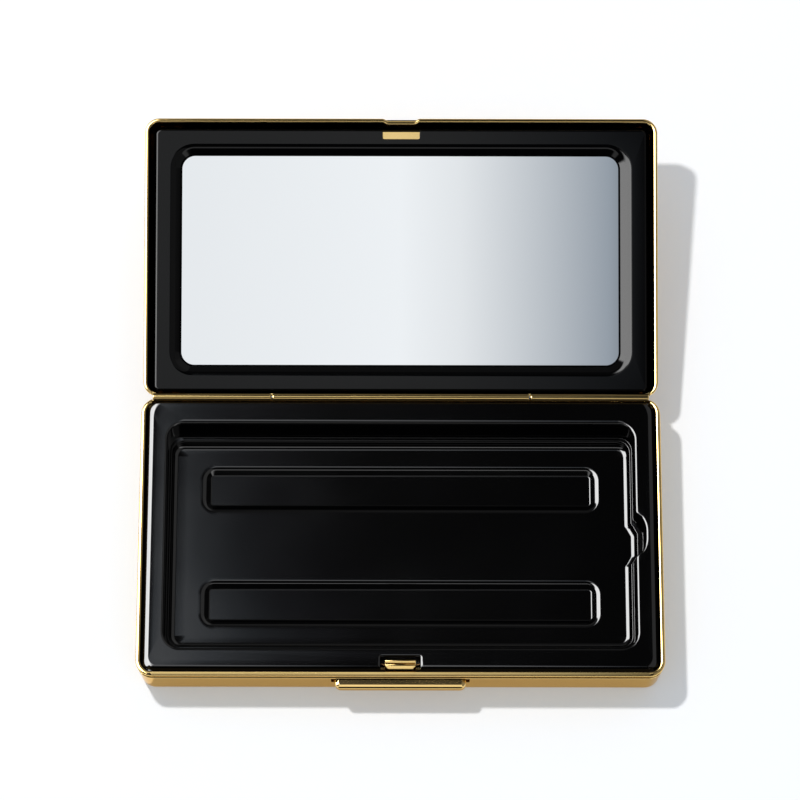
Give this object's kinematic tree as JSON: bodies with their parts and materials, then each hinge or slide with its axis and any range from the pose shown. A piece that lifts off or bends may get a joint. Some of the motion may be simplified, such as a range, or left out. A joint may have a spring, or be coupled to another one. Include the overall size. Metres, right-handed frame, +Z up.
{
  "type": "makeup compact",
  "caption": "Rectangular gilt makeup compact that opens flat on a tube hinge, with a mirror in its lid, a stepped black tray with sunk channels, and a thumb latch",
  "frame": {"origin": "the middle of the base's flat underside, where it lies on a table", "axes": "+X to the right, +Y to the rear where the hinge is, +Z up; the lid is open behind the base"},
  "size_m": [0.115, 0.1262, 0.0266],
  "materials": {
    "gilt": "polished gold plate",
    "gloss_black": "gloss",
    "matt_black": "matt",
    "silvered": "mirror",
    "steel": "bright",
    "tape": "matt"
  },
  "bodies": {
    "base": {"base_shell": "gilt", "tray_insert": "gloss_black", "tray_tape_front": "tape", "tray_tape_rear": "tape", "hinge_knuckle_left": "gilt", "hinge_knuckle_right": "gilt", "hinge_pin": "steel", "latch_guide": "matt_black", "latch_spring": "steel"},
    "lid": {"lid_shell": "gilt", "hinge_knuckle_centre": "gilt", "mirror_frame": "gloss_black", "frame_tape": "tape", "mirror": "silvered", "mirror_tape": "tape"},
    "latch": {"thumb_bar": "gilt", "latch_hook": "gilt"}
  },
  "joints": [
    {"name": "lid_hinge", "type": "hinge", "parent": "base", "child": "lid", "pos_m": [0, 0.03135, 0.01455], "axis": [1, 0, 0], "range_deg": [0, 168.7]},
    {"name": "latch_slide", "type": "slide", "parent": "base", "child": "latch", "axis": [0, 1, 0], "range_m": [0, 0.001], "stiffness_N_per_m": 800, "springref_m": -0.001, "deforming": ["latch_spring"]}
  ]
}
